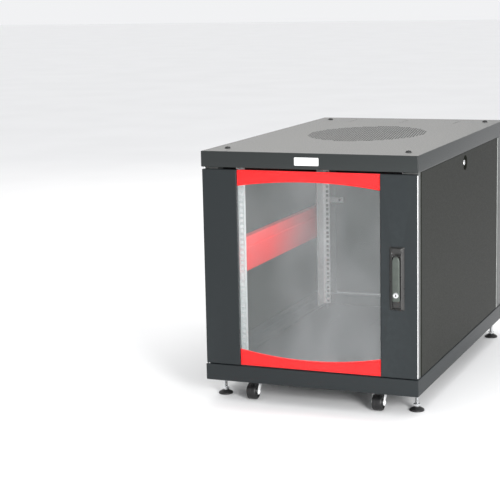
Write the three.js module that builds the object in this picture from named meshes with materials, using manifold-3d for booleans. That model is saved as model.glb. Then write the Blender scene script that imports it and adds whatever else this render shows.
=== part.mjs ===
// A 12-unit floor-standing network cabinet for 19-inch equipment: a glass front door, a vented steel
// rear door, removable side panels, four slotted rails, castors and levelling feet.
// Millimetres. +Z is up, the front faces -Y and the origin is on the floor below the middle.

import * as THREE from "three";
import { mergeVertices } from "three/addons/utils/BufferGeometryUtils.js";
import Module from "manifold-3d";

// Driving dimensions
const WIDTH = 600;
const DEPTH = 1000;
const UNITS = 12;
const UNIT = 44.45; // one rack unit
const FLOOR_GAP = 57; // floor to the underside of the base
const BASE_HEIGHT = 45;
const ROOF_HEIGHT = 43;
const SHEET = 2; // sheet steel
const GAP = 0.3; // between pieces that touch
const DOOR_THICKNESS = 12;
const DOOR_SIDE_GAP = 2.5;
const DOOR_BOTTOM_GAP = 2.5;
const DOOR_TOP_GAP = 5.6;

// Heights and faces that follow from them
const BASE_TOP = FLOOR_GAP + BASE_HEIGHT;
const DOOR_BOTTOM = BASE_TOP + DOOR_BOTTOM_GAP;
const DOOR_TOP = DOOR_BOTTOM + UNITS * UNIT;
const ROOF_BOTTOM = DOOR_TOP + DOOR_TOP_GAP;
const ROOF_TOP = ROOF_BOTTOM + ROOF_HEIGHT;
const FRAME_BOTTOM = BASE_TOP + GAP;
const FRAME_TOP = ROOF_TOP - SHEET - GAP;
const HALF_WIDTH = WIDTH / 2;
const HALF_DEPTH = DEPTH / 2;
const DOOR_HALF = HALF_WIDTH - DOOR_SIDE_GAP;

// Base and roof
const BASE_FLANGE = 32;
const ROOF_LIP = 13;
// An oval field of cross slots, a little behind the middle
const ROOF_VENT = { halfX: 168, halfY: 222, y: 22, slot: 44, width: 12, pitchX: 54, pitchY: 40 };

// Hinge pins stand in the base flange and the roof lip
const PIN = { x: 291.5, y: 495, radius: 2.5, clearance: 0.3, inDoor: 20, inBody: 6 };

// Posts, depth bars and side beams
const POST_FACE = 297; // outer face, from the middle
const POST_FRONT = 484;
const POST_INNER = 258;
const POST_STEP = 285;
const POST_LAP = 28; // depth behind the side panel's edge
const FRONT_POST_BAND = 17;
const REAR_POST_BAND = 83;
const BAR = { inner: 247, outer: 284, height: 30 };
const BEAM = { inner: 258, outer: 283, bottom: 323, crease: 387, top: 419, step: 3 };

// 19-inch rails
const RAIL = { inner: 225, outer: 246.7, front: 388, rear: 325, side: 60, top: 680 };
const RAIL_HOLE = { x: 232.55, size: 9.5, offset: 6.35, step: 15.875, perUnit: 3 };

// Side panels and their locks
const PANEL = { face: 299, inner: 287, front: -465, rear: 399, gap: 1.5 };
const SIDE_LOCK = { y: -8, z: 612, dish: 21, depth: 8, barrel: 8, tongue: 26, keyway: 2.2 };

// Front door
const WINDOW_HALF = 198.75;
const GLASS = { half: 198.3, thickness: 4 };
const BAND = { thickness: 1.4, topEnd: 594.5, topMiddle: 609.5, bottomEnd: 150.5, bottomMiddle: 131 };
const CROSS_HEIGHT = 22;
const BAND_BACK = 6.3; // the door's face to the front of its cross members

// Swing handle, from its turning axis on the door's face; outward is -Y
const HANDLE = { x: 243.5, z: 417 };
const HOUSING = { half: 20, top: 34, bottom: -132, height: 6, bevel: 6.5, channel: 12, floor: 2.5 };
const LEVER = { half: 10, back: 6.3, front: 12.5, top: 11.5, bottom: -107.5, slot: 2.6 };
const HUB = { radius: 8, front: 5.6, lug: 2, pin: 1.5, pinHalf: 7, stub: 4.5 };
const TONGUE = { back: 3, half: 9, tip: 42, thickness: 3, plane: 18.6 };
const KEY = { z: -90.5, radius: 7.5, front: 14 };

// Rear door vents: two blocks of upright slots
const VENT = { rows: 4, rowPitch: 31, slotHeight: 25, slots: 6, pitch: 20, width: 7 };
const VENT_TOPS = [140, 285]; // below the top of the door

// Blank name plate on the roof's front edge
const LABEL = { half: 33.5, bottom: 654, top: 675, thickness: 0.8 };

// Castors and levelling feet
const CASTOR = { x: 179, y: 440, trail: 18, plate: 25, plateThickness: 2.5, head: 13, headHeight: 4 };
const WHEEL = { radius: 22, half: 14, bore: 3.4, floor: 1, hub: 8 };
const FORK = { crown: 16, thickness: 2, axle: 3, leg: 8, head: 5 };
const FOOT = { x: 275, front: -426, rear: 437, pad: 20, padHeight: 11, stem: 5, inside: 22, hex: 10 };

const wasm = await Module();
wasm.setup();

// Solids: closed geometries joined and cut as manifolds

function solid(geometry) {
  const bare = geometry.clone();
  bare.deleteAttribute("normal");
  bare.deleteAttribute("uv");
  const merged = mergeVertices(bare, 1e-4);
  const vertProperties = merged.attributes.position.array;
  const triVerts = new Uint32Array(merged.index.array);
  return new wasm.Manifold(new wasm.Mesh({ numProp: 3, vertProperties, triVerts }));
}

function geometryOf(manifold) {
  const mesh = manifold.getMesh();
  const geometry = new THREE.BufferGeometry();
  geometry.setAttribute("position", new THREE.BufferAttribute(mesh.vertProperties, 3));
  geometry.setIndex(new THREE.BufferAttribute(mesh.triVerts, 1));
  const faceted = geometry.toNonIndexed();
  faceted.computeVertexNormals();
  return faceted;
}

function join(...geometries) {
  return geometryOf(geometries.map(solid).reduce((whole, next) => whole.add(next)));
}

function cut(geometry, ...tools) {
  return geometryOf(tools.map(solid).reduce((whole, tool) => whole.subtract(tool), solid(geometry)));
}

function common(a, b) {
  return geometryOf(solid(a).intersect(solid(b)));
}

// Basic shapes

function box(x0, x1, y0, y1, z0, z1) {
  const geometry = new THREE.BoxGeometry(x1 - x0, y1 - y0, z1 - z0);
  return geometry.translate((x0 + x1) / 2, (y0 + y1) / 2, (z0 + z1) / 2);
}

// Turns a shape's own x, y and depth onto the axes across and along the named axis.
const ALONG = {
  x: [new THREE.Vector3(0, 1, 0), new THREE.Vector3(0, 0, 1), new THREE.Vector3(1, 0, 0)],
  y: [new THREE.Vector3(0, 0, 1), new THREE.Vector3(1, 0, 0), new THREE.Vector3(0, 1, 0)],
  z: [new THREE.Vector3(1, 0, 0), new THREE.Vector3(0, 1, 0), new THREE.Vector3(0, 0, 1)],
};

// An outline of [a, b] points, swept along an axis: a, b are y, z for x; z, x for y; x, y for z.
function prism(axis, outline, from, to) {
  const points = outline.map(([a, b]) => new THREE.Vector2(a, b));
  const settings = { depth: to - from, bevelEnabled: false };
  const geometry = new THREE.ExtrudeGeometry(new THREE.Shape(points), settings);
  geometry.translate(0, 0, from);
  return geometry.applyMatrix4(new THREE.Matrix4().makeBasis(...ALONG[axis]));
}

// A rod along an axis, with its centre line at a, b as in prism.
function rod(axis, a, b, radius, from, to, sides = 16) {
  const ring = Array.from({ length: sides }, (_, i) => {
    const angle = (2 * Math.PI * i) / sides;
    return [a + radius * Math.cos(angle), b + radius * Math.sin(angle)];
  });
  return prism(axis, ring, from, to);
}

// A closed [radius, height] profile turned about Z.
function turned(profile, segments = 24) {
  const points = [...profile, profile[0]].map(([radius, height]) => new THREE.Vector2(radius, height));
  return new THREE.LatheGeometry(points, segments).rotateX(Math.PI / 2);
}

// The closed outline of a bent sheet whose middle follows a line.
function folded(line, thickness = SHEET) {
  const points = line.map(([a, b]) => new THREE.Vector2(a, b));
  const normals = points.slice(1).map((point, i) => {
    const along = point.clone().sub(points[i]).normalize();
    return new THREE.Vector2(-along.y, along.x);
  });
  const offset = (sign) =>
    points.map((point, i) => {
      const before = normals[Math.max(i - 1, 0)];
      const after = normals[Math.min(i, normals.length - 1)];
      const reach = (sign * thickness) / 2 / (1 + before.dot(after));
      return [point.x + (before.x + after.x) * reach, point.y + (before.y + after.y) * reach];
    });
  return [...offset(1), ...offset(-1).reverse()];
}

const mirrored = (points, sx, sy = 1) => points.map(([a, b]) => [sx * a, sy * b]);

// Finishes

const finish = (color, roughness, metalness) => ({ color, roughness, metalness });
const SLATE = finish(0x45494c, 0.55, 0.3);
const ROOF_GREY = finish(0x4c4f50, 0.55, 0.3);
const PANEL_GREY = finish(0x4a4b47, 0.6, 0.3);
const RED = finish(0xe0262a, 0.35, 0.0);
const ZINC = finish(0xc9ccce, 0.35, 0.9);
const CHROME = finish(0xd8dadc, 0.15, 1.0);
const BLACK = finish(0x17181a, 0.6, 0.0);
const LEVER_GREY = finish(0x6a716d, 0.4, 0.5);
const RUBBER = finish(0x1b1b1c, 0.9, 0.0);
const WHITE = finish(0xe8e8e6, 0.5, 0.0);
const CLEAR = { ...finish(0xa9b4b4, 0.05, 0.0), transparent: true, opacity: 0.3 };

const cabinet = new THREE.Group();

function add(parent, name, geometry, look) {
  const mesh = new THREE.Mesh(geometry, new THREE.MeshStandardMaterial(look));
  mesh.name = name;
  parent.add(mesh);
  return mesh;
}

const SIDES = [
  ["left", -1],
  ["right", 1],
];
const ENDS = [
  ["front", -1],
  ["rear", 1],
];

// Both doors hinge on the left as seen from outside, so the pins are at opposite corners.
const pinHole = (sign, from, to) => {
  return rod("z", sign * PIN.x, sign * PIN.y, PIN.radius + PIN.clearance, from, to);
};

const footY = (end) => (end < 0 ? FOOT.front : FOOT.rear);

function baseFrame() {
  const tray = box(-HALF_WIDTH, HALF_WIDTH, -HALF_DEPTH, HALF_DEPTH, FLOOR_GAP, BASE_TOP);
  const wall = HALF_WIDTH - SHEET;
  const end = HALF_DEPTH - SHEET;
  const hollow = box(-wall, wall, -end, end, FLOOR_GAP + SHEET, BASE_TOP - SHEET);
  const inX = HALF_WIDTH - BASE_FLANGE;
  const inY = HALF_DEPTH - BASE_FLANGE;
  const mouth = box(-inX, inX, -inY, inY, BASE_TOP - SHEET - 1, BASE_TOP + 1);
  const below = FLOOR_GAP - 1;
  const stemHoles = SIDES.flatMap(([, side]) =>
    ENDS.map(([, sign]) => {
      return rod("z", side * FOOT.x, footY(sign), FOOT.stem + GAP, below, below + SHEET + 2);
    }),
  );
  const pinHoles = ENDS.map(([, sign]) => pinHole(sign, BASE_TOP - SHEET - 1, BASE_TOP + 1));
  return cut(tray, hollow, mouth, ...stemHoles, ...pinHoles);
}

function roofSlots() {
  const { halfX, halfY, slot, width, pitchX, pitchY } = ROOF_VENT;
  const rows = Math.floor(halfY / pitchY);
  const columns = Math.floor(halfX / pitchX);
  const slots = [];
  for (let row = -rows; row <= rows; row += 1) {
    for (let column = -columns; column <= columns; column += 1) {
      const x = column * pitchX;
      const reachX = (Math.abs(x) + slot / 2) / halfX;
      const reachY = (Math.abs(row * pitchY) + width / 2) / halfY;
      if (Math.hypot(reachX, reachY) > 1) continue;
      const y = ROOF_VENT.y + row * pitchY;
      const [x0, x1] = [x - slot / 2, x + slot / 2];
      slots.push(box(x0, x1, y - width / 2, y + width / 2, FRAME_TOP - 1, ROOF_TOP + 1));
    }
  }
  return slots;
}

function roofCover() {
  const cap = box(-HALF_WIDTH, HALF_WIDTH, -HALF_DEPTH, HALF_DEPTH, ROOF_BOTTOM, ROOF_TOP);
  const wall = HALF_WIDTH - SHEET;
  const end = HALF_DEPTH - SHEET;
  const lip = HALF_DEPTH - ROOF_LIP;
  const hollow = box(-wall, wall, -end, end, ROOF_BOTTOM + SHEET, ROOF_TOP - SHEET);
  const mouth = box(-wall, wall, -lip, lip, ROOF_BOTTOM - 1, ROOF_BOTTOM + SHEET + 1);
  const pinHoles = ENDS.map(([, sign]) => pinHole(sign, ROOF_BOTTOM - 1, ROOF_BOTTOM + SHEET + 1));
  return cut(cap, hollow, mouth, ...pinHoles, ...roofSlots());
}

// The post's front flange has a slot where the latch tongue passes through.
function strikeSlot(side, end) {
  const x = [POST_INNER - 2, HANDLE.x + TONGUE.tip + 4].map((value) => side * value);
  const y = [POST_FRONT + 1, POST_FRONT - SHEET - 1].map((value) => end * value);
  const half = TONGUE.half + 3;
  const [x0, x1] = [Math.min(...x), Math.max(...x)];
  const [y0, y1] = [Math.min(...y), Math.max(...y)];
  return box(x0, x1, y0, y1, HANDLE.z - half, HANDLE.z + half);
}

function post(side, end) {
  const face = POST_FRONT - SHEET / 2;
  const out = POST_FACE - SHEET / 2;
  const step = POST_FRONT - (end < 0 ? FRONT_POST_BAND : REAR_POST_BAND) + SHEET / 2;
  const line = [
    [POST_INNER, face],
    [out, face],
    [out, step],
    [POST_STEP, step],
    [POST_STEP, step - POST_LAP],
    [POST_INNER + 4, step - POST_LAP],
  ];
  const body = prism("z", folded(mirrored(line, side, end)), FRAME_BOTTOM, FRAME_TOP);
  return side * end < 0 ? cut(body, strikeSlot(side, end)) : body;
}

// The bars and beams run between the posts' inner faces.
const BAR_FRONT = -(POST_FRONT - FRONT_POST_BAND - POST_LAP - GAP);
const BAR_REAR = POST_FRONT - REAR_POST_BAND - POST_LAP - GAP;

// A channel open to the outside, which ties two posts and carries the rails.
function depthBar(side, bottom) {
  const inner = BAR.inner + SHEET / 2;
  const low = bottom + SHEET / 2;
  const high = bottom + BAR.height - SHEET / 2;
  const line = [
    [low, side * BAR.outer],
    [low, side * inner],
    [high, side * inner],
    [high, side * BAR.outer],
  ];
  return prism("y", folded(line), BAR_FRONT, BAR_REAR);
}

// The coloured middle beam: a shallow channel whose upper strip is stepped back.
function sideBeam(side) {
  const face = BEAM.inner + SHEET / 2;
  const line = [
    [BEAM.bottom + SHEET / 2, side * BEAM.outer],
    [BEAM.bottom + SHEET / 2, side * face],
    [BEAM.crease, side * face],
    [BEAM.crease + BEAM.step, side * (face + BEAM.step)],
    [BEAM.top - SHEET / 2, side * (face + BEAM.step)],
    [BEAM.top - SHEET / 2, side * BEAM.outer],
  ];
  return prism("y", folded(line), BAR_FRONT, BAR_REAR);
}

// Hole heights: two even steps and a short one in each rack unit.
function railHoles(side, y0, y1) {
  const half = RAIL_HOLE.size / 2;
  const holes = [];
  for (let unit = 0; unit < UNITS; unit += 1) {
    for (let k = 0; k < RAIL_HOLE.perUnit; k += 1) {
      const z = DOOR_BOTTOM + unit * UNIT + RAIL_HOLE.offset + k * RAIL_HOLE.step;
      const x = side * RAIL_HOLE.x;
      holes.push(box(x - half, x + half, y0, y1, z - half, z + half));
    }
  }
  return holes;
}

function rail(side, end) {
  const face = end < 0 ? RAIL.front : RAIL.rear;
  const plane = face - SHEET / 2;
  const line = [
    [RAIL.inner, plane],
    [RAIL.outer - SHEET / 2, plane],
    [RAIL.outer - SHEET / 2, face - RAIL.side],
  ];
  const body = prism("z", folded(mirrored(line, side, end)), FRAME_BOTTOM, RAIL.top);
  const y = [end * (face + 1), end * (face - SHEET - 1)];
  return cut(body, ...railHoles(side, Math.min(...y), Math.max(...y)));
}

// A tray with a pressed dish round its lock.
function sidePanel(side) {
  const bottom = BASE_TOP + PANEL.gap;
  const top = ROOF_BOTTOM - PANEL.gap;
  const slab = (inset, x0, x1) => {
    const x = [side * x0, side * x1];
    const [low, high] = [Math.min(...x), Math.max(...x)];
    return box(low, high, PANEL.front + inset, PANEL.rear - inset, bottom + inset, top - inset);
  };
  const tray = cut(slab(0, PANEL.inner, PANEL.face), slab(SHEET, PANEL.inner - 1, PANEL.face - SHEET));
  const along = (radius, x0, x1) => {
    const x = [side * x0, side * x1];
    return rod("x", SIDE_LOCK.y, SIDE_LOCK.z, radius, Math.min(...x), Math.max(...x), 24);
  };
  const floor = PANEL.face - SIDE_LOCK.depth;
  const dish = along(SIDE_LOCK.dish + SHEET, floor - SHEET, PANEL.face - SHEET / 2);
  const hollow = along(SIDE_LOCK.dish, floor, PANEL.face + 1);
  const hole = along(SIDE_LOCK.barrel + GAP, floor - SHEET - 1, floor + 1);
  return cut(join(tray, dish), hollow, hole);
}

// The barrel fills the dish's hole, and its tongue stands up behind the panel.
function sideLock(side) {
  const floor = PANEL.face - SIDE_LOCK.depth;
  const back = floor - SHEET - GAP;
  const along = (radius, x0, x1) => {
    const x = [side * x0, side * x1];
    return rod("x", SIDE_LOCK.y, SIDE_LOCK.z, radius, Math.min(...x), Math.max(...x));
  };
  const barrel = along(SIDE_LOCK.barrel, back - SHEET, PANEL.face - 2);
  const keyway = along(SIDE_LOCK.keyway, PANEL.face - 4, PANEL.face);
  const x = [side * (back - SHEET), side * back];
  const half = SIDE_LOCK.barrel - 2;
  const top = SIDE_LOCK.z + SIDE_LOCK.tongue;
  const [low, high] = [Math.min(...x), Math.max(...x)];
  const tongue = box(low, high, SIDE_LOCK.y - half, SIDE_LOCK.y + half, SIDE_LOCK.z, top);
  return cut(join(barrel, tongue), keyway);
}

// Doors are drawn as the front one; the rear door is turned half round about Z.

const DOOR_FACE = -HALF_DEPTH;
const DOOR_BACK = DOOR_FACE + DOOR_THICKNESS;

function doorTray() {
  const slab = box(-DOOR_HALF, DOOR_HALF, DOOR_FACE, DOOR_BACK, DOOR_BOTTOM, DOOR_TOP);
  const inner = DOOR_HALF - SHEET;
  const low = DOOR_BOTTOM + SHEET;
  const high = DOOR_TOP - SHEET;
  const pocket = box(-inner, inner, DOOR_FACE + SHEET, DOOR_BACK + 1, low, high);
  const holes = [
    pinHole(-1, DOOR_BOTTOM - 1, low + 1),
    pinHole(-1, high - 1, DOOR_TOP + 1),
    rod("y", HANDLE.z, HANDLE.x, HUB.radius + GAP, DOOR_FACE - 1, DOOR_FACE + SHEET + 1),
  ];
  return cut(slab, pocket, ...holes);
}

function frontDoorFrame() {
  const back = DOOR_FACE + BAND_BACK;
  const opening = box(-WINDOW_HALF, WINDOW_HALF, DOOR_FACE - 1, back, DOOR_BOTTOM - 1, DOOR_TOP + 1);
  const stileWalls = SIDES.map(([, side]) => {
    const x = [side * WINDOW_HALF, side * (WINDOW_HALF + SHEET)];
    const [x0, x1] = [Math.min(...x), Math.max(...x)];
    return box(x0, x1, DOOR_FACE + 1, DOOR_BACK, DOOR_BOTTOM + 1, DOOR_TOP - 1);
  });
  const reach = WINDOW_HALF + 1;
  const crosses = [
    box(-reach, reach, back, back + SHEET, DOOR_BOTTOM, DOOR_BOTTOM + CROSS_HEIGHT),
    box(-reach, reach, back, back + SHEET, DOOR_TOP - CROSS_HEIGHT, DOOR_TOP),
  ];
  return join(cut(doorTray(), opening), ...stileWalls, ...crosses);
}

function glassPane() {
  const front = DOOR_FACE + GAP;
  const back = front + GLASS.thickness;
  return box(-GLASS.half, GLASS.half, front, back, DOOR_BOTTOM + GAP, DOOR_TOP - GAP);
}

// A coloured band with one curved edge, behind the glass.
function band(edge, end, middle) {
  const sagitta = Math.abs(middle - end);
  const radius = (GLASS.half ** 2 + sagitta ** 2) / (2 * sagitta);
  const sign = Math.sign(middle - end);
  const steps = 24;
  const arc = Array.from({ length: steps + 1 }, (_, i) => {
    const x = GLASS.half * (1 - (2 * i) / steps);
    return [middle - sign * (radius - Math.sqrt(radius ** 2 - x ** 2)), x];
  });
  const front = DOOR_FACE + GAP + GLASS.thickness + GAP;
  return prism("y", [[edge, -GLASS.half], [edge, GLASS.half], ...arc], front, front + BAND.thickness);
}

// Vent rows are widest in the middle of each block.
function ventSlots() {
  return VENT_TOPS.flatMap((top) =>
    Array.from({ length: VENT.rows }, (_, row) => {
      const outer = row === 0 || row === VENT.rows - 1;
      const count = VENT.slots - (outer ? 1 : 0);
      const z1 = DOOR_TOP - top - row * VENT.rowPitch;
      return Array.from({ length: count }, (_2, i) => {
        const x = (i - (count - 1) / 2) * VENT.pitch;
        const z0 = z1 - VENT.slotHeight;
        return box(x - VENT.width / 2, x + VENT.width / 2, DOOR_FACE - 1, DOOR_FACE + SHEET + 1, z0, z1);
      });
    }).flat(),
  );
}

const rearDoorPanel = () => cut(doorTray(), ...ventSlots());

function hingePin(top) {
  const edge = top ? ROOF_BOTTOM + SHEET + PIN.inBody : BASE_TOP - SHEET - PIN.inBody;
  const inside = top ? DOOR_TOP - PIN.inDoor : DOOR_BOTTOM + PIN.inDoor;
  return rod("z", -PIN.x, -PIN.y, PIN.radius, Math.min(edge, inside), Math.max(edge, inside));
}

// A raised block with sloping sides, hollowed to a channel behind the lever.
function handleHousing() {
  const { half, top, bottom, height, bevel, channel, floor } = HOUSING;
  const flat = [
    [bottom + bevel, -half + bevel],
    [bottom + bevel, half - bevel],
    [top - bevel, half - bevel],
    [top - bevel, -half + bevel],
  ];
  const points = flat.map(([z, x]) => new THREE.Vector2(z, x));
  const rise = height - GAP;
  const bevels = { bevelThickness: rise, bevelSize: bevel, bevelSegments: 1 };
  const block = new THREE.ExtrudeGeometry(new THREE.Shape(points), { depth: 0.01, ...bevels });
  block.applyMatrix4(new THREE.Matrix4().makeBasis(...ALONG.y));
  block.translate(0, -GAP, 0);
  const inward = box(-half - 1, half + 1, -GAP, height + 1, bottom - 1, top + 1);
  const trough = box(-channel, channel, -height - 1, -floor, bottom + bevel + 3, 2);
  const round = rod("y", 2, 0, channel, -height - 1, -floor, 20);
  const hole = rod("y", 0, 0, HUB.radius + GAP, -height, 1);
  return cut(block, inward, join(trough, round), hole);
}

// The turning shaft, its disc, and the lug and cross pin that carry the lever.
function handleHub() {
  const pivotY = -(LEVER.back + LEVER.front) / 2;
  const pivotZ = LEVER.top - (LEVER.front - LEVER.back) / 2;
  const round = (LEVER.front - LEVER.back) / 2 - 0.3;
  const end = TONGUE.plane - GAP;
  const lug = box(-HUB.lug, HUB.lug, pivotY, -HUB.front + 1, pivotZ - round, pivotZ + 0.5);
  const pieces = [
    rod("y", 0, 0, HUB.radius, -HUB.front, end),
    rod("y", 0, 0, HUB.stub, end - 1, TONGUE.plane + TONGUE.thickness + 2),
    lug,
    rod("x", pivotY, pivotZ, round, -HUB.lug, HUB.lug),
    rod("x", pivotY, pivotZ, HUB.pin, -HUB.pinHalf, HUB.pinHalf, 8),
  ];
  return join(...pieces);
}

function latchTongue() {
  const { back, half, tip, thickness, plane } = TONGUE;
  const reach = half + back;
  const plate = box(-reach, tip, plane, plane + thickness, -half, half);
  return cut(plate, rod("y", 0, 0, HUB.stub + GAP, plane - 1, plane + thickness + 1));
}

// A flat grip, rounded at the top both ways so that it can tip about its cross pin.
function handleLever() {
  const { half, back, front, top, bottom, slot } = LEVER;
  const round = (front - back) / 2;
  const pivotY = -(back + front) / 2;
  const pivotZ = top - round;
  const outline = [
    [bottom, -half + 3],
    [bottom, half - 3],
    [bottom + 3, half],
    [top - half, half],
    [top - half, -half],
    [bottom + 3, -half],
  ];
  const flat = join(prism("y", outline, -front, -back), rod("y", top - half, 0, half, -front, -back, 24));
  const side = join(
    box(-half - 1, half + 1, -front, -back, bottom - 1, pivotZ),
    rod("x", pivotY, pivotZ, round, -half - 1, half + 1),
  );
  return cut(
    common(flat, side),
    box(-slot, slot, -front - 1, -back + 1, pivotZ - round - 2, top + 1),
    rod("x", pivotY, pivotZ, HUB.pin + GAP, -HUB.pinHalf - GAP, HUB.pinHalf + GAP, 8),
    rod("y", KEY.z, 0, KEY.radius + GAP, -front - 1, -back + 1),
  );
}

function lockBarrel() {
  const barrel = rod("y", KEY.z, 0, KEY.radius, -KEY.front, -LEVER.back - GAP);
  return cut(barrel, box(-1, 1, -KEY.front - 1, -KEY.front + 3, KEY.z - 3, KEY.z + 3));
}

function addHandle(door, end) {
  const handle = new THREE.Group();
  handle.position.set(HANDLE.x, DOOR_FACE, HANDLE.z);
  add(handle, `${end}_handle_housing`, handleHousing(), BLACK);
  add(handle, `${end}_handle_hub`, handleHub(), CHROME);
  add(handle, `${end}_latch_tongue`, latchTongue(), ZINC);
  add(handle, `${end}_handle_lever`, handleLever(), LEVER_GREY);
  add(handle, `${end}_lock_barrel`, lockBarrel(), CHROME);
  door.add(handle);
}

// Castors, drawn round their swivel axis with the underside of the base at zero

const WHEEL_Z = WHEEL.floor + WHEEL.radius - FLOOR_GAP;
const HEAD_BOTTOM = -GAP - CASTOR.plateThickness - CASTOR.headHeight;

function castorPlate() {
  const { plate, plateThickness, head } = CASTOR;
  const top = -GAP;
  const mid = top - plateThickness;
  return join(
    box(-plate, plate, -plate, plate, mid, top),
    rod("z", 0, 0, head, HEAD_BOTTOM, mid + 1),
  );
}

function castorFork() {
  const { crown, thickness, axle, leg, head } = FORK;
  const top = HEAD_BOTTOM - GAP;
  const low = top - thickness;
  const inner = WHEEL.half + 1.2;
  const cheek = [
    [-crown + 4, low + 1],
    [crown - 4, low + 1],
    [-CASTOR.trail + leg, WHEEL_Z],
    [-CASTOR.trail - leg, WHEEL_Z],
  ];
  const cheeks = SIDES.flatMap(([, side]) => {
    const x = [side * inner, side * (inner + thickness)];
    const [x0, x1] = [Math.min(...x), Math.max(...x)];
    return [prism("x", cheek, x0, x1), rod("x", -CASTOR.trail, WHEEL_Z, leg, x0, x1, 12)];
  });
  const end = inner + thickness;
  return join(
    box(-end, end, -crown + 4, crown - 4, low, top),
    ...cheeks,
    rod("x", -CASTOR.trail, WHEEL_Z, axle, -end - 1, end + 1, 12),
    rod("x", -CASTOR.trail, WHEEL_Z, head, -end - 4, -end + 0.5, 6),
    rod("x", -CASTOR.trail, WHEEL_Z, head, end - 0.5, end + 3, 6),
  );
}

function castorWheel() {
  const { radius, half, bore, hub } = WHEEL;
  const profile = [
    [bore, -half - 0.8],
    [hub, -half - 0.8],
    [radius - 4, -half],
    [radius, -half + 5],
    [radius, half - 5],
    [radius - 4, half],
    [hub, half + 0.8],
    [bore, half + 0.8],
  ];
  const wheel = turned(profile, 20).rotateY(Math.PI / 2);
  return wheel.translate(0, -CASTOR.trail, WHEEL_Z);
}

function addCastor(name, x, y) {
  const castor = new THREE.Group();
  castor.position.set(x, y, FLOOR_GAP);
  add(castor, `castor_plate_${name}`, castorPlate(), ZINC);
  add(castor, `castor_fork_${name}`, castorFork(), ZINC);
  add(castor, `castor_wheel_${name}`, castorWheel(), BLACK);
  cabinet.add(castor);
}

// Levelling feet, drawn on their own axis with the floor at zero

function footPad() {
  const { pad, padHeight } = FOOT;
  const profile = [
    [0, 0],
    [pad, 0],
    [pad, 3.5],
    [pad - 6, 8],
    [pad - 12, padHeight],
    [0, padHeight],
  ];
  return turned(profile, 20);
}

function footStem() {
  const { padHeight, stem, inside, hex } = FOOT;
  const foot = padHeight + GAP;
  return join(
    rod("z", 0, 0, stem, foot, FLOOR_GAP + inside),
    rod("z", 0, 0, hex, foot + 1.5, foot + 8, 6),
    rod("z", 0, 0, stem + 2, foot, foot + 2),
  );
}

function addFoot(name, x, y) {
  const foot = new THREE.Group();
  foot.position.set(x, y, 0);
  add(foot, `foot_pad_${name}`, footPad(), RUBBER);
  add(foot, `foot_stem_${name}`, footStem(), CHROME);
  cabinet.add(foot);
}

// Assembly

add(cabinet, "base_frame", baseFrame(), SLATE);
add(cabinet, "roof_cover", roofCover(), ROOF_GREY);
const labelBack = DOOR_FACE - GAP;
add(
  cabinet,
  "label_plate",
  box(-LABEL.half, LABEL.half, labelBack - LABEL.thickness, labelBack, LABEL.bottom, LABEL.top),
  WHITE,
);

for (const [sideName, side] of SIDES) {
  for (const [endName, end] of ENDS) {
    const name = `${endName}_${sideName}`;
    add(cabinet, `post_${name}`, post(side, end), SLATE);
    add(cabinet, `rail_${name}`, rail(side, end), ZINC);
    addCastor(name, side * CASTOR.x, end * CASTOR.y);
    addFoot(name, side * FOOT.x, footY(end));
  }
  add(cabinet, `bottom_bar_${sideName}`, depthBar(side, FRAME_BOTTOM), SLATE);
  add(cabinet, `top_bar_${sideName}`, depthBar(side, FRAME_TOP - BAR.height), SLATE);
  add(cabinet, `side_beam_${sideName}`, sideBeam(side), RED);
  add(cabinet, `side_panel_${sideName}`, sidePanel(side), PANEL_GREY);
  add(cabinet, `side_lock_${sideName}`, sideLock(side), CHROME);
}

const frontDoor = new THREE.Group();
add(frontDoor, "front_door_frame", frontDoorFrame(), SLATE);
add(frontDoor, "front_door_glass", glassPane(), CLEAR);
const bandTop = band(DOOR_TOP - GAP, BAND.topEnd, BAND.topMiddle);
const bandBottom = band(DOOR_BOTTOM + GAP, BAND.bottomEnd, BAND.bottomMiddle);
add(frontDoor, "front_door_band_top", bandTop, RED);
add(frontDoor, "front_door_band_bottom", bandBottom, RED);
addHandle(frontDoor, "front");
cabinet.add(frontDoor);

const rearDoor = new THREE.Group();
rearDoor.rotation.z = Math.PI;
add(rearDoor, "rear_door_panel", rearDoorPanel(), SLATE);
addHandle(rearDoor, "rear");
cabinet.add(rearDoor);

for (const [endName, end] of ENDS) {
  const pins = new THREE.Group();
  pins.rotation.z = end < 0 ? 0 : Math.PI;
  add(pins, `${endName}_hinge_pin_top`, hingePin(true), CHROME);
  add(pins, `${endName}_hinge_pin_bottom`, hingePin(false), CHROME);
  cabinet.add(pins);
}

export default cabinet;
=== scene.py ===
import math

import bmesh
import bpy
from mathutils import Matrix, Vector


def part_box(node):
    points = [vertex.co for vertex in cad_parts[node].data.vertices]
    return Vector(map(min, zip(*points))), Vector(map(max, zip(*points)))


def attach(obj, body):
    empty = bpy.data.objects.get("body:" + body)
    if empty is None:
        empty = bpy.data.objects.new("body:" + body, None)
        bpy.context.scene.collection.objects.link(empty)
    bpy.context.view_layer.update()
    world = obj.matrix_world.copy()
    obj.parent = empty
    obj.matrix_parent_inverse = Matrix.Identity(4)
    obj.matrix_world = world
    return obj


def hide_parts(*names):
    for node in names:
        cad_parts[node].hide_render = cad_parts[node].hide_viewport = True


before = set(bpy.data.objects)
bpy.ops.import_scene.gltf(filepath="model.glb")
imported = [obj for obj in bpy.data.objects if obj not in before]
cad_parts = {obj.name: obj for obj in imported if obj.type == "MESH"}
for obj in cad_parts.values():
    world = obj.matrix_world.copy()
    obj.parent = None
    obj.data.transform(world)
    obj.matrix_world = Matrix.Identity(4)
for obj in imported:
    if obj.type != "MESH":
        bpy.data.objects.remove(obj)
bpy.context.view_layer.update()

# A 12-unit network cabinet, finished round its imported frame. Shapes are drawn in millimetres in the
# frame's own axes (front -Y, up +Z) and scaled to metres when each piece is made.

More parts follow.
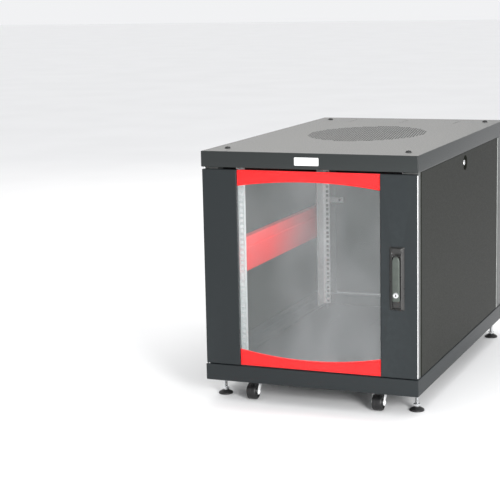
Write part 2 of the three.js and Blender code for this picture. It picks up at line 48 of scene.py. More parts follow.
MM = 0.001
SHEET = 2.0  # sheet steel
FOLD = 2.6  # outside radius of a folded edge
FOLD_STEPS = 5
FLAT_RIM = 1.2  # flat margin that keeps a fold's shading off the face
ISLAND_MARGIN = 6  # plain metal round a dense field of holes
UNIT = 44.45  # one rack unit
UNITS = 12
SIDES = (("left", -1), ("right", 1))
ENDS = (("front", -1), ("rear", 1))


def span(node):
    low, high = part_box(node)
    return Vector(low) / MM, Vector(high) / MM


BASE_LOW, BASE_HIGH = span("base_frame")
ROOF_LOW, ROOF_HIGH = span("roof_cover")
DOOR_LOW, DOOR_HIGH = span("front_door_frame")
GLASS_LOW, GLASS_HIGH = span("front_door_glass")
HALF_WIDTH = BASE_HIGH.x
HALF_DEPTH = BASE_HIGH.y
DOOR_BOTTOM = DOOR_LOW.z
DOOR_TOP = DOOR_HIGH.z
BAND_TOP = (594.5, 609.5)  # height of a band's curved edge at its ends and in its middle
BAND_BOTTOM = (150.5, 131.0)


# Camera and light

CAMERA = {"location": (1.298, -4.045, 1.113), "yaw": 22.40, "tilt": 79.81, "roll": -1.22, "lens": 105.2}


def make_camera():
    data = bpy.data.cameras.new("camera")
    data.lens = CAMERA["lens"]
    data.sensor_width = 36
    data.clip_end = 100
    camera = bpy.data.objects.new("camera", data)
    turn = Matrix.Rotation(math.radians(CAMERA["yaw"]), 4, "Z")
    turn @= Matrix.Rotation(math.radians(CAMERA["tilt"]), 4, "X")
    turn @= Matrix.Rotation(math.radians(CAMERA["roll"]), 4, "Z")
    camera.matrix_world = Matrix.Translation(CAMERA["location"]) @ turn
    bpy.context.scene.collection.objects.link(camera)
    bpy.context.scene.camera = camera


def area_light(name, location, target, size, power, colour=(1, 1, 1), glossy=True):
    """A soft rectangle of light that no camera sees. Without glossy it makes no highlights."""
    data = bpy.data.lights.new(name, "AREA")
    data.shape = "RECTANGLE"
    data.size, data.size_y = size
    data.energy = power
    data.color = colour
    light = bpy.data.objects.new(name, data)
    light.location = location
    aim = Vector(target) - Vector(location)
    light.rotation_mode = "QUATERNION"
    light.rotation_quaternion = aim.to_track_quat("-Z", "Y")
    light.visible_camera = False
    light.visible_glossy = glossy
    bpy.context.scene.collection.objects.link(light)


def make_lights():
    middle = (0, 0, 0.35)
    area_light("overhead", (0.2, 0.6, 3.6), middle, (3.0, 3.0), 33)
    area_light("front_right", (1.95, -2.6, 1.0), middle, (0.8, 0.8), 96)
    area_light("right", (4.0, 2.6, 2.6), middle, (2.0, 1.8), 4)
    area_light("left", (-4.0, -1.2, 2.4), middle, (2.2, 1.8), 10)
    area_light("back", (-1.6, 3.8, 2.6), middle, (2.6, 1.8), 26, (1.0, 0.97, 0.91))
    area_light("inside", (0.10, -0.18, 0.62), (0.10, -0.18, 0.0), (0.3, 0.3), 2.0, glossy=False)


def make_world():
    world = bpy.data.worlds.new("studio")
    bpy.context.scene.world = world
    world.use_nodes = True
    background = world.node_tree.nodes["Background"]
    background.inputs["Color"].default_value = (0.98, 0.985, 1.0, 1)
    background.inputs["Strength"].default_value = 0.9
    bpy.context.scene.view_settings.view_transform = "Standard"


# Materials

class Shader:
    """A Principled material whose node graph grows by short calls."""

    def __init__(self, name, metallic=0.0, specular=0.5):
        self.material = bpy.data.materials.new(name)
        self.material.use_nodes = True
        self.tree = self.material.node_tree
        self.surface = self.tree.nodes["Principled BSDF"]
        self.surface.inputs["Metallic"].default_value = metallic
        self.surface.inputs["Specular IOR Level"].default_value = specular
        self.place = self.tree.nodes.new("ShaderNodeTexCoord").outputs["Object"]

    def node(self, kind, inputs=(), **settings):
        node = self.tree.nodes.new(kind)
        for key, value in settings.items():
            setattr(node, key, value)
        for key, value in dict(inputs).items():
            if isinstance(value, bpy.types.NodeSocket):
                self.tree.links.new(value, node.inputs[key])
            else:
                node.inputs[key].default_value = value
        return node

    def noise(self, scale, detail=3.0, stretch=None):
        place = self.place
        if stretch:
            place = self.node("ShaderNodeMapping", {"Vector": place, "Scale": stretch}).outputs[0]
        inputs = {"Vector": place, "Scale": scale, "Detail": detail}
        return self.node("ShaderNodeTexNoise", inputs).outputs["Fac"]

    def cells(self, scale):
        inputs = {"Vector": self.place, "Scale": scale}
        return self.node("ShaderNodeTexVoronoi", inputs).outputs["Color"]

    def remap(self, value, low, high, to_low, to_high):
        inputs = {"Value": value, "From Min": low, "From Max": high, "To Min": to_low, "To Max": to_high}
        return self.node("ShaderNodeMapRange", inputs).outputs[0]

    def blend(self, share, a, b):
        node = self.node("ShaderNodeMix", data_type="RGBA")
        for socket, value in ((node.inputs[0], share), (node.inputs[6], a), (node.inputs[7], b)):
            if isinstance(value, bpy.types.NodeSocket):
                self.tree.links.new(value, socket)
            elif isinstance(value, tuple):
                socket.default_value = (*value, 1)
            else:
                socket.default_value = value
        return node.outputs[2]

    def times(self, a, b):
        return self.node("ShaderNodeMath", {0: a, 1: b}, operation="MULTIPLY").outputs[0]

    # Pale sharp bends: partly rubbed wear, partly a painted highlight for the light lines that rounded
    # corners catch.
    def worn_and_highlit_edges(self, low=0.53, high=0.62):
        bend = self.node("ShaderNodeNewGeometry").outputs["Pointiness"]
        edge = self.remap(bend, low, high, 0.0, 1.0)
        return self.times(edge, self.remap(self.noise(60), 0.35, 0.65, 0.3, 1.0))

    def colour(self, socket):
        self.tree.links.new(socket, self.surface.inputs["Base Color"])

    def roughness(self, socket):
        self.tree.links.new(socket, self.surface.inputs["Roughness"])

    def bump(self, height, strength, distance):
        inputs = {"Height": height, "Strength": strength, "Distance": distance}
        bump = self.node("ShaderNodeBump", inputs)
        self.tree.links.new(bump.outputs[0], self.surface.inputs["Normal"])


def tint(colour, factor):
    return tuple(min(channel * factor, 1.0) for channel in colour)


def powder_coat(name, colour, roughness, specular=0.5):
    """Baked powder paint: faint cloudy tone, fine orange peel, and edges a little lighter, partly rubbed
    wear and partly a painted highlight.
    """
    shader = Shader(name, specular=specular)
    cloud = shader.remap(shader.noise(3.0), 0.3, 0.7, 0.0, 1.0)
    base = shader.blend(cloud, tint(colour, 0.95), tint(colour, 1.05))
    speck = shader.remap(shader.noise(1400, 2.0), 0.35, 0.65, 0.0, 0.35)
    speckled = shader.blend(speck, base, tint(colour, 1.35))
    shader.colour(shader.blend(shader.times(shader.worn_and_highlit_edges(), 0.35), speckled, tint(colour, 3.0)))
    shader.roughness(shader.remap(shader.noise(300, 2.0), 0.3, 0.7, roughness - 0.05, roughness + 0.05))
    shader.bump(shader.noise(420, 2.0), 0.07, 0.0001)
    return shader.material


def gloss_red(name):
    """Smooth red enamel with a shallow ripple."""
    shader = Shader(name, specular=0.25)
    cloud = shader.remap(shader.noise(6.0), 0.3, 0.7, 0.0, 1.0)
    base = shader.blend(cloud, (0.90, 0.006, 0.008), (0.98, 0.009, 0.011))
    speck = shader.remap(shader.noise(1100, 2.0), 0.4, 0.7, 0.0, 0.12)
    shader.colour(shader.blend(speck, base, (1.0, 0.06, 0.055)))
    shader.roughness(shader.remap(shader.noise(30), 0.3, 0.7, 0.36, 0.46))
    shader.bump(shader.noise(380, 2.0), 0.12, 0.0001)
    return shader.material


def zinc_plate(name, colour=(0.94, 0.95, 0.96), roughness=0.42):
    """Galvanised sheet: spangle cells and soft streaks along the sheet."""
    shader = Shader(name, metallic=0.15, specular=0.6)
    spangle = shader.node("ShaderNodeSeparateColor", {0: shader.cells(170)}).outputs[0]
    base = shader.blend(spangle, tint(colour, 0.90), tint(colour, 1.06))
    streak = shader.remap(shader.noise(55, 4.0, (1.0, 1.0, 0.08)), 0.35, 0.7, 0.0, 0.3)
    shader.colour(shader.blend(streak, base, tint(colour, 0.85)))
    shader.roughness(shader.remap(spangle, 0.0, 1.0, roughness - 0.08, roughness + 0.1))
    shader.bump(shader.noise(420, 3.0), 0.15, 0.0001)
    return shader.material


def bright_metal(name, colour=(0.83, 0.84, 0.85), roughness=0.18):
    """Nickel plate with turning marks and faint handling haze."""
    shader = Shader(name, metallic=1.0)
    haze = shader.remap(shader.noise(90, 4.0), 0.35, 0.7, 0.0, 1.0)
    shader.colour(shader.blend(haze, colour, tint(colour, 0.82)))
    shader.roughness(shader.remap(shader.noise(220, 4.0), 0.3, 0.7, roughness - 0.05, roughness + 0.09))
    shader.bump(shader.noise(1600, 2.0, (0.15, 0.15, 1.0)), 0.12, 0.00005)
    return shader.material


def moulded(name, colour, roughness, grain, specular=0.5):
    """Moulded plastic or rubber with a fine leather-like texture and paler edges, partly rubbed wear and
    partly a painted highlight.
    """
    shader = Shader(name, specular=specular)
    cloud = shader.remap(shader.noise(35), 0.3, 0.7, 0.0, 1.0)
    base = shader.blend(cloud, tint(colour, 0.82), tint(colour, 1.2))
    shader.colour(shader.blend(shader.times(shader.worn_and_highlit_edges(), 0.4), base, tint(colour, 3.0)))
    shader.roughness(shader.remap(shader.noise(120), 0.3, 0.7, roughness - 0.07, roughness + 0.07))
    shader.bump(shader.noise(grain, 3.0), 0.3, 0.00012)
    return shader.material


def cast_grip(name):
    """Painted die-cast metal: satin grey-green with a fine blast texture and lighter edges, partly rubbed
    wear and partly a painted highlight.
    """
    shader = Shader(name, metallic=0.25)
    colour = (0.062, 0.073, 0.064)
    cloud = shader.remap(shader.noise(45), 0.3, 0.7, 0.0, 1.0)
    base = shader.blend(cloud, tint(colour, 0.88), tint(colour, 1.12))
    shader.colour(shader.blend(shader.times(shader.worn_and_highlit_edges(), 0.6), base, (0.24, 0.26, 0.24)))
    shader.roughness(shader.remap(shader.noise(150), 0.3, 0.7, 0.33, 0.47))
    shader.bump(shader.noise(900, 2.0), 0.2, 0.00008)
    return shader.material


def label_vinyl(name):
    """Blank satin label stock."""
    shader = Shader(name)
    fibre = shader.remap(shader.noise(500, 4.0), 0.35, 0.65, 0.0, 1.0)
    shader.colour(shader.blend(fibre, (0.80, 0.80, 0.79), (0.90, 0.90, 0.89)))
    shader.roughness(shader.remap(shader.noise(80), 0.3, 0.7, 0.38, 0.52))
    shader.bump(shader.noise(700, 2.0), 0.1, 0.00005)
    return shader.material


def between_bands(shader):
    """1 on the clear part of the door's glass and 0 where a band is bonded to its back."""
    axes = shader.node("ShaderNodeSeparateXYZ", {0: shader.place}).outputs
    across = shader.times(axes[0], 1 / (GLASS_HIGH.x * MM))
    bow = shader.times(across, across)
    inside = []
    for end_z, middle_z in (BAND_TOP, BAND_BOTTOM):
        edge = shader.remap(bow, 0.0, 1.0, middle_z * MM, end_z * MM)
        compare = "LESS_THAN" if middle_z > end_z else "GREATER_THAN"
        inside.append(shader.node("ShaderNodeMath", {0: axes[2], 1: edge}, operation=compare).outputs[0])
    return shader.times(*inside)


def safety_glass(name):
    """Toughened glass, clear with a grey haze of dust and a faint cool tint."""
    shader = Shader(name, specular=0.5)
    smear = shader.remap(shader.noise(7.0, 5.0, (1.0, 1.0, 0.5)), 0.35, 0.7, 0.0, 1.0)
    shader.colour(shader.blend(smear, (0.52, 0.54, 0.54), (0.66, 0.67, 0.68)))
    shader.roughness(shader.remap(shader.noise(4.0, 2.0), 0.3, 0.7, 0.015, 0.035))
    clear = shader.node("ShaderNodeBsdfTransparent", {"Color": (0.95, 0.97, 0.97, 1)})
    haze = shader.remap(smear, 0.0, 1.0, 0.105, 0.15)
    share = shader.remap(between_bands(shader), 0.0, 1.0, 0.01, haze)
    inputs = {0: share, 1: clear.outputs[0], 2: shader.surface.outputs[0]}
    mix = shader.node("ShaderNodeMixShader", inputs)
    shader.tree.links.new(mix.outputs[0], shader.tree.nodes["Material Output"].inputs["Surface"])
    return shader.material


def studio_floor(name):
    shader = Shader(name, specular=0.2)
    cloud = shader.remap(shader.noise(1.5), 0.3, 0.7, 0.0, 1.0)
    shader.colour(shader.blend(cloud, (0.92, 0.92, 0.92), (0.95, 0.95, 0.95)))
    shader.roughness(shader.remap(shader.noise(8.0), 0.3, 0.7, 0.7, 0.8))
    return shader.material


SLATE = powder_coat("slate_powder_coat", (0.0140, 0.0175, 0.0190), 0.44, 0.28)
ROOF_GREY = powder_coat("roof_powder_coat", (0.0165, 0.0195, 0.0195), 0.38, 0.36)
PANEL_GREY = powder_coat("panel_powder_coat", (0.0095, 0.0105, 0.008), 0.50, 0.11)
# The posts are painted much paler than the cabinet's slate, so they read lighter beside the door and
# through the glass: painted light.
POST_GREY = powder_coat("post_powder_coat", (0.065, 0.068, 0.066), 0.42, 0.40)
RED = gloss_red("red_enamel")
ZINC = zinc_plate("zinc_sheet")
CHROME = bright_metal("nickel_plate")
DARK_BOLT = moulded("black_oxide", (0.012, 0.012, 0.012), 0.4, 900)
HANDLE_BLACK = moulded("handle_plastic", (0.017, 0.017, 0.0165), 0.33, 1200)
WHEEL_BLACK = moulded("wheel_plastic", (0.007, 0.007, 0.0075), 0.42, 800)
# Pale grey for the strips behind the side panels: a painted highlight.
PALE_HIGHLIGHT = moulded("rear_highlight_grey", (0.30, 0.31, 0.30), 0.5, 900)
RUBBER = moulded("foot_rubber_black", (0.008, 0.008, 0.0085), 0.55, 700)
GRIP = cast_grip("cast_grip")
LABEL = label_vinyl("label_stock")
GLASS = safety_glass("safety_glass")
FLOOR = studio_floor("studio_floor")


# Making pieces

def bake_modifiers(obj):
    depsgraph = bpy.context.evaluated_depsgraph_get()
    mesh = bpy.data.meshes.new_from_object(obj.evaluated_get(depsgraph))
    obj.modifiers.clear()
    obj.data = mesh


def thicken(obj, thickness, offset):
    modifier = obj.modifiers.new("thickness", "SOLIDIFY")
    modifier.thickness = thickness * MM
    modifier.offset = offset
    modifier.use_even_offset = True
    bake_modifiers(obj)


def soften(obj, width, segments=2, angle=40):
    modifier = obj.modifiers.new("edge", "BEVEL")
    modifier.width = width * MM
    modifier.segments = segments
    modifier.limit_method = "ANGLE"
    modifier.angle_limit = math.radians(angle)
    modifier.use_clamp_overlap = True
    bake_modifiers(obj)


def piece(name, bm, material, body, replaces=(), sheet=None, edge=None, smooth=32):
    """Turns a millimetre bmesh into a finished piece. sheet is (thickness, offset) for an open skin."""
    bmesh.ops.scale(bm, vec=(MM, MM, MM), verts=bm.verts)
    mesh = bpy.data.meshes.new(name)
    bm.to_mesh(mesh)
    bm.free()
    obj = bpy.data.objects.new(name, mesh)
    bpy.context.scene.collection.objects.link(obj)
    if sheet:
        thicken(obj, *sheet)
    if edge:
        soften(obj, edge)
    obj.data.materials.clear()
    obj.data.materials.append(material)
    obj.data.shade_smooth()
    obj.data.set_sharp_from_angle(angle=math.radians(smooth))
    if replaces:
        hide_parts(*replaces)
    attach(obj, body)
    return obj


def closed_loop(bm, points):
    return [bm.verts.new(point) for point in points]


def loop_edges(bm, ring):
    pairs = zip(ring, ring[1:] + ring[:1])
    return [bm.edges.get(pair) or bm.edges.new(pair) for pair in pairs]


def skin(bm, rings, closed=True):
    """Quads between neighbouring rings of equal length."""
    for lower, upper in zip(rings, rings[1:]):
        count = len(lower)
        for i in range(count if closed else count - 1):
            j = (i + 1) % count
            bm.faces.new((lower[i], lower[j], upper[j], upper[i]))


def fill(bm, rings):
    """Triangles over the flat area between an outer ring and the rings inside it."""
    edges = [edge for ring in rings for edge in loop_edges(bm, ring)]
    bmesh.ops.triangle_fill(bm, use_beauty=True, use_dissolve=False, edges=edges)


def outward(bm):
    bmesh.ops.recalc_face_normals(bm, faces=bm.faces)
    if bm.calc_volume(signed=True) < 0:
        bmesh.ops.reverse_faces(bm, faces=bm.faces)


def face_along(bm, direction):
    """Turns an open skin so that its flat face, the one that faces most that way, faces that way."""
    bmesh.ops.recalc_face_normals(bm, faces=bm.faces)
    lean = sum(face.calc_area() * face.normal.dot(direction) for face in bm.faces)
    if lean < 0:
        bmesh.ops.reverse_faces(bm, faces=bm.faces)


def arc(steps):
    return [i / steps * math.pi / 2 for i in range(steps + 1)]


def rounded_rectangle(u0, u1, v0, v1, radius, steps=4):
    centres = ((u1, v1, 0), (u0, v1, 1), (u0, v0, 2), (u1, v0, 3))
    points = []
    for u, v, quarter in centres:
        cu = u - math.copysign(radius, u - (u0 + u1) / 2)
        cv = v - math.copysign(radius, v - (v0 + v1) / 2)
        for angle in arc(steps):
            turn = angle + quarter * math.pi / 2
            points.append((cu + radius * math.cos(turn), cv + radius * math.sin(turn)))
    return points


def circle(u, v, radius, sides=32):
    turns = [2 * math.pi * i / sides for i in range(sides)]
    return [(u + radius * math.cos(turn), v + radius * math.sin(turn)) for turn in turns]


def slot_outline(u, v, half_u, half_v, steps=3):
    """A narrow slot with rounded ends."""
    radius = min(half_u, half_v) * 0.98
    return rounded_rectangle(u - half_u, u + half_u, v - half_v, v + half_v, radius, steps)


def tray(bounds, depth, place, holes=(), corner=1.6, fold=FOLD, lip=None, island=None):
    """A pressed sheet: a flat face, folded walls and an optional returned lip, as an open skin.
    place maps (u, v, depth) to the frame. A hole is a list of (outline, depth) rings from the face.
    island is a rectangle round a dense field of holes, filled apart from the plain face."""
    u0, u1, v0, v1 = bounds

    def ring(inset_u, inset_v, level):
        inset = max(inset_u, inset_v)
        radius = max(corner - inset, 0.0) + 0.4
        outline = rounded_rectangle(u0 + inset_u, u1 - inset_u, v0 + inset_v, v1 - inset_v, radius)
        return [place(u, v, level) for u, v in outline]

    levels = []
    for angle in arc(FOLD_STEPS):
        inset = fold * (1 - math.sin(angle))
        levels.append((inset, inset, fold * (1 - math.cos(angle))))
    if lip:
        for angle in arc(FOLD_STEPS):
            inset = fold * (1 - math.cos(angle))
            levels.append((inset, inset, depth - fold * (1 - math.sin(angle))))
        levels.append((lip[0], lip[1], depth))
    else:
        levels.append((0, 0, depth))
    levels.insert(0, (fold + FLAT_RIM, fold + FLAT_RIM, 0))
    bm = bmesh.new()
    rings = [closed_loop(bm, ring(*level)) for level in levels]
    skin(bm, rings)
    plain, dense = [rings[0]], []
    for hole in holes:
        inner = [closed_loop(bm, [place(u, v, level) for u, v in outline]) for outline, level in hole]
        skin(bm, inner)
        u, v = hole[0][0][0]
        inside = island and island[0] < u < island[1] and island[2] < v < island[3]
        (dense if inside else plain).append(inner[0])
    if island:
        border = closed_loop(bm, [place(u, v, 0) for u, v in rounded_rectangle(*island, ISLAND_MARGIN)])
        fill(bm, [border, *dense])
        plain.append(border)
    fill(bm, plain)
    return bm


def turned(profile, place, sides=48, closed=False):
    """A profile of (radius, height) turned round an axis. place maps (x, y, height) to the frame."""
    bm = bmesh.new()
    rings = []
    for radius, height in profile:
        if radius < 1e-6:
            rings.append([bm.verts.new(place(0, 0, height))])
        else:
            rings.append(closed_loop(bm, [place(x, y, height) for x, y in circle(0, 0, radius, sides)]))
    pairs = list(zip(rings, rings[1:]))
    if closed:
        pairs.append((rings[-1], rings[0]))
    for lower, upper in pairs:
        for i in range(sides):
            j = (i + 1) % sides
            corners = [lower[i % len(lower)], lower[j % len(lower)]]
            corners += [upper[j % len(upper)], upper[i % len(upper)]]
            corners = list(dict.fromkeys(corners))
            if len(corners) > 2:
                bm.faces.new(corners)
    outward(bm)
    return bm


def merged(*parts):
    whole = bmesh.new()
    for part in parts:
        mesh = bpy.data.meshes.new("part")
        part.to_mesh(mesh)
        part.free()
        whole.from_mesh(mesh)
        bpy.data.meshes.remove(mesh)
    return whole


def solid_prism(outline, place, low, high):
    bm = bmesh.new()
    rings = [closed_loop(bm, [place(u, v, level) for u, v in outline]) for level in (low, high)]
    skin(bm, rings)
    for ring in rings:
        fill(bm, [ring])
    outward(bm)
    return bm


def block(low, high):
    def place(u, v, level):
        return u, v, level

    outline = [(low[0], low[1]), (high[0], low[1]), (high[0], high[1]), (low[0], high[1])]
    return solid_prism(outline, place, low[2], high[2])


def refined(node, material, body, edge=0.4):
    """The CAD node's own shape with its flats cleaned and its edges rounded."""
    bm = bmesh.new()
    bm.from_mesh(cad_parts[node].data)
    bmesh.ops.remove_doubles(bm, verts=bm.verts, dist=1e-6)
    edges = list(bm.edges)
    bmesh.ops.dissolve_limit(bm, angle_limit=math.radians(1.5), verts=bm.verts, edges=edges)
    bmesh.ops.scale(bm, vec=(1 / MM, 1 / MM, 1 / MM), verts=bm.verts)
    return piece(f"{node}_finished", bm, material, body, [node], edge=edge)


# Base and roof

BASE_SEAM = {"columns": (-196, -64, 64, 196), "y": 280, "half_x": 0.8, "half_y": 62}
BASE_LIP = 32
FOOT_HOLE = 5.6


def base():
    def place(u, v, level):
        return u, v, BASE_LOW.z + level

    seam = BASE_SEAM
    holes = []
    for x in seam["columns"]:
        holes.append([(slot_outline(x, seam["y"], seam["half_x"], seam["half_y"], 1), 0)])
    for side_name, _ in SIDES:
        for end_name, _ in ENDS:
            low, high = span(f"foot_stem_{end_name}_{side_name}")
            centre = (low + high) / 2
            holes.append([(circle(centre.x, centre.y, FOOT_HOLE, 20), 0)])
    bounds = (-HALF_WIDTH, HALF_WIDTH, -HALF_DEPTH, HALF_DEPTH)
    bm = tray(bounds, BASE_HIGH.z - BASE_LOW.z, place, holes, lip=(BASE_LIP, BASE_LIP))
    face_along(bm, Vector((0, 0, -1)))
    piece("base_frame_finished", bm, SLATE, "cabinet", ["base_frame"], sheet=(SHEET, -1))


ROOF_FIELD = {
    "half_x": 168,
    "half_y": 222,
    "y": 22,
    "pitch_x": 7.6,
    "pitch_y": 21,
    "slot_x": 1.9,
    "slot_y": 8.2,
}
ROOF_SEAM = {"x": 170, "from": 352, "to": 448, "half": 0.7}
ROOF_LIP = (2.2, 12)
ROOF_BOLT = {"x": 253, "y": 425}


def roof_field():
    """An oval field of fine slots in staggered rows."""
    field = ROOF_FIELD
    holes = []
    rows = int(field["half_y"] / field["pitch_y"])
    columns = int(field["half_x"] / field["pitch_x"]) + 1
    for row in range(-rows, rows + 1):
        shift = 0.5 if row % 2 else 0.0
        for column in range(-columns, columns + 1):
            x = (column + shift) * field["pitch_x"]
            y = row * field["pitch_y"]
            reach_y = (abs(y) + field["slot_y"]) / field["half_y"]
            if math.hypot(x / field["half_x"], reach_y) < 1:
                outline = slot_outline(x, field["y"] + y, field["slot_x"], field["slot_y"], 1)
                holes.append([(outline, 0)])
    return holes


def roof_seams():
    """Thin pressed outlines of the cable knock-outs near the rear."""
    seam = ROOF_SEAM
    middle = (seam["from"] + seam["to"]) / 2
    reach = (seam["to"] - seam["from"]) / 2
    return [[(slot_outline(x, middle, seam["half"], reach, 1), 0)] for x in (-seam["x"], 0, seam["x"])]


def roof():
    def place(u, v, level):
        return u, v, ROOF_HIGH.z - level

    field = ROOF_FIELD
    reach_x = field["half_x"] + ISLAND_MARGIN
    reach_y = field["half_y"] + ISLAND_MARGIN
    island = (-reach_x, reach_x, field["y"] - reach_y, field["y"] + reach_y)
    bounds = (-HALF_WIDTH, HALF_WIDTH, -HALF_DEPTH, HALF_DEPTH)
    holes = roof_field() + roof_seams()
    bm = tray(bounds, ROOF_HIGH.z - ROOF_LOW.z, place, holes, lip=ROOF_LIP, island=island)
    face_along(bm, Vector((0, 0, 1)))
    piece("roof_cover_finished", bm, ROOF_GREY, "cabinet", ["roof_cover"], sheet=(SHEET, -1))


def roof_bolts():
    """Low domed bolt heads with a washer rim and a round socket."""
    profile = [(0, 3.2), (2.4, 3.2), (2.4, 5.0), (4.2, 4.8), (6.0, 4.0), (7.2, 2.4), (7.5, 1.0)]
    profile += [(9.0, 1.0), (9.2, 0.6), (9.2, 0.05), (0, 0.05)]
    for side_name, side in SIDES:
        for end_name, end in ENDS:
            def place(x, y, height, side=side, end=end):
                return side * ROOF_BOLT["x"] + x, end * ROOF_BOLT["y"] + y, ROOF_HIGH.z + height

            bm = turned(profile, place, 32)
            piece(f"roof_bolt_{end_name}_{side_name}", bm, DARK_BOLT, "cabinet")


def label():
    low, high = span("label_plate")

    def place(u, v, level):
        return u, low.y + level, v

    outline = rounded_rectangle(low.x, high.x, low.z, high.z, 1.6, 5)
    bm = solid_prism(outline, place, 0, high.y - low.y)
    piece("label_plate_finished", bm, LABEL, "cabinet", ["label_plate"], edge=0.2)


# Frame inside

def inner_frame():
    for side_name, side in SIDES:
        for end_name, end in ENDS:
            name = f"{end_name}_{side_name}"
            refined(f"post_{name}", POST_GREY, "cabinet", edge=0.8)
            rail(name, side, end)
        refined(f"bottom_bar_{side_name}", SLATE, "cabinet", edge=0.7)
        refined(f"top_bar_{side_name}", SLATE, "cabinet", edge=0.7)
        refined(f"side_beam_{side_name}", RED, "cabinet", edge=0.8)


HOLE_OFFSETS = (6.35, 22.225, 38.1)  # mounting holes above the foot of each unit
RAIL = {
    "column": 232.55,
    "half_hole": 4.6,
    "fold": 2.4,
    "tick_columns": (18, 44),
    "tick_rise": 3,
    "tick_u": 2.0,
    "tick_v": 3.2,
}


def rail_holes():
    """Outlines of the square mounting holes and of the small slots in a rail's side."""
    x, half = RAIL["column"], RAIL["half_hole"]
    holes, ticks = [], []
    for unit in range(UNITS):
        for offset in HOLE_OFFSETS:
            z = DOOR_BOTTOM + unit * UNIT + offset
            holes.append(rounded_rectangle(x - half, x + half, z - half, z + half, 0.7, 2))
            for u in RAIL["tick_columns"]:
                ticks.append(slot_outline(u, z + RAIL["tick_rise"], RAIL["tick_u"], RAIL["tick_v"], 2))
    return holes, ticks


def punched_strip(place, u0, u1, v0, v1, holes):
    """A flat skin with holes. place maps (u, v) to the frame."""
    outlines = [[(u0, v0), (u1, v0), (u1, v1), (u0, v1)], *holes]
    bm = bmesh.new()
    fill(bm, [closed_loop(bm, [place(u, v) for u, v in outline]) for outline in outlines])
    return bm


def rail(name, side, end):
    """A slotted L: square mounting holes on its face and small ones in two columns on its side."""
    node = f"rail_{name}"
    low, high = span(node)
    inner, outer = sorted((abs(low.x), abs(high.x)))
    face = max(abs(low.y), abs(high.y))
    reach = face - min(abs(low.y), abs(high.y))
    radius = RAIL["fold"]
    holes, ticks = rail_holes()

    def face_place(u, v):
        return side * u, end * face, v

    def side_place(u, v):
        return side * outer, end * (face - u), v

    face_strip = punched_strip(face_place, inner, outer - radius, low.z, high.z, holes)
    side_strip = punched_strip(side_place, radius, reach, low.z, high.z, ticks)
    fold = bmesh.new()
    columns = []
    for angle in arc(FOLD_STEPS):
        x = side * (outer - radius + radius * math.sin(angle))
        y = end * (face - radius + radius * math.cos(angle))
        columns.append([fold.verts.new((x, y, z)) for z in (low.z, high.z)])
    skin(fold, columns, closed=False)
    whole = merged(face_strip, side_strip, fold)
    bmesh.ops.remove_doubles(whole, verts=whole.verts, dist=0.01)
    face_along(whole, Vector((side, end, 0)))
    piece(f"{node}_finished", whole, ZINC, "cabinet", [node], sheet=(SHEET, -1))


# Side panels

SIDE_LOCK_Z = 612
LOCK_DISH = {"radius": 21, "depth": 8, "round": 1.8, "hole": 8.3, "floor": 3.5}


def dish_rings(centre_y):
    """The pressed dish round a side lock, from the panel's face to the hole in its floor."""
    dish = LOCK_DISH
    radius, depth, rounding = dish["radius"], dish["depth"], dish["round"]
    levels = [(radius + rounding + FLAT_RIM, 0)]
    for angle in arc(FOLD_STEPS):
        inset = rounding * (1 - math.sin(angle))
        levels.append((radius + inset, rounding * (1 - math.cos(angle))))
    for angle in arc(FOLD_STEPS):
        inset = rounding * (1 - math.cos(angle))
        levels.append((radius - inset, depth - rounding * (1 - math.sin(angle))))
    levels.append((dish["hole"] + dish["floor"], depth))
    levels.append((dish["hole"], depth))
    return [(circle(centre_y, SIDE_LOCK_Z, reach, 48), level) for reach, level in levels]


def side_panel(side_name, side):
    node = f"side_panel_{side_name}"
    low, high = span(node)
    lock_low, lock_high = span(f"side_lock_{side_name}")
    face = max(abs(low.x), abs(high.x))
    depth = face - min(abs(low.x), abs(high.x))

    def place(u, v, level):
        return side * (face - level), u, v

    rings = dish_rings((lock_low.y + lock_high.y) / 2)
    bm = tray((low.y, high.y, low.z, high.z), depth, place, [rings])
    face_along(bm, Vector((side, 0, 0)))
    piece(f"{node}_finished", bm, PANEL_GREY, node, [node], sheet=(SHEET, -1))


def side_lock(side_name, side):
    """A quarter-turn lock: a barrel with a round key socket, and its cam behind the panel."""
    node = f"side_lock_{side_name}"
    low, high = span(node)
    centre_y = (low.y + high.y) / 2
    face = max(abs(low.x), abs(high.x))
    reach = face - min(abs(low.x), abs(high.x))
    cam_front = reach - SHEET

    def place(u, v, level):
        return side * (face - level), centre_y + u, SIDE_LOCK_Z + v

    profile = [(0, 3.2), (2.0, 3.2), (2.2, 0.5), (2.8, 0), (6.2, 0), (7.4, 0.6), (8.0, 1.6), (8.0, 7)]
    profile += [(7.4, 7.4), (7.4, cam_front), (0, cam_front)]
    barrel = turned(profile, place, 40)
    cam = rounded_rectangle(-6, 6, -6, high.z - SIDE_LOCK_Z, 3, 4)
    plate = solid_prism(cam, place, cam_front, reach)
    piece(f"{node}_finished", merged(barrel, plate), CHROME, node, [node], edge=0.15)


# Front door

DOOR_FOLD = 1.8
GLASS_GAP = 0.45
HUB_HOLE = 8.4
CROSS_MEMBER = {"setback": 6.3, "height": 22, "lap": 2}
# A bright strip down the door's closing edge: a painted highlight.
DOOR_HIGHLIGHT_STRIP = {"sunk": 0.2, "proud": 0.6, "front": 1.6, "back": 5.0, "end": 2}
# A pale strip behind each side panel: a painted highlight.
REAR_HIGHLIGHT_STRIP = {"sunk": 3.2, "proud": 0.2, "front": 0.2, "back": 2.2, "end": 3}


def hub_hole(end_name):
    """The hole in a door's face for its handle's hub."""
    low, high = span(f"{end_name}_handle_hub")
    centre = (low + high) / 2
    return [(circle(centre.x, centre.z, HUB_HOLE, 24), 0)]


def stile(side):
    def place(u, v, level):
        return side * u, DOOR_LOW.y + level, v

    holes = [hub_hole("front")] if side > 0 else []
    bounds = (GLASS_HIGH.x + GLASS_GAP, DOOR_HIGH.x, DOOR_BOTTOM, DOOR_TOP)
    bm = tray(bounds, DOOR_HIGH.y - DOOR_LOW.y, place, holes, fold=DOOR_FOLD)
    face_along(bm, Vector((0, -1, 0)))
    return bm


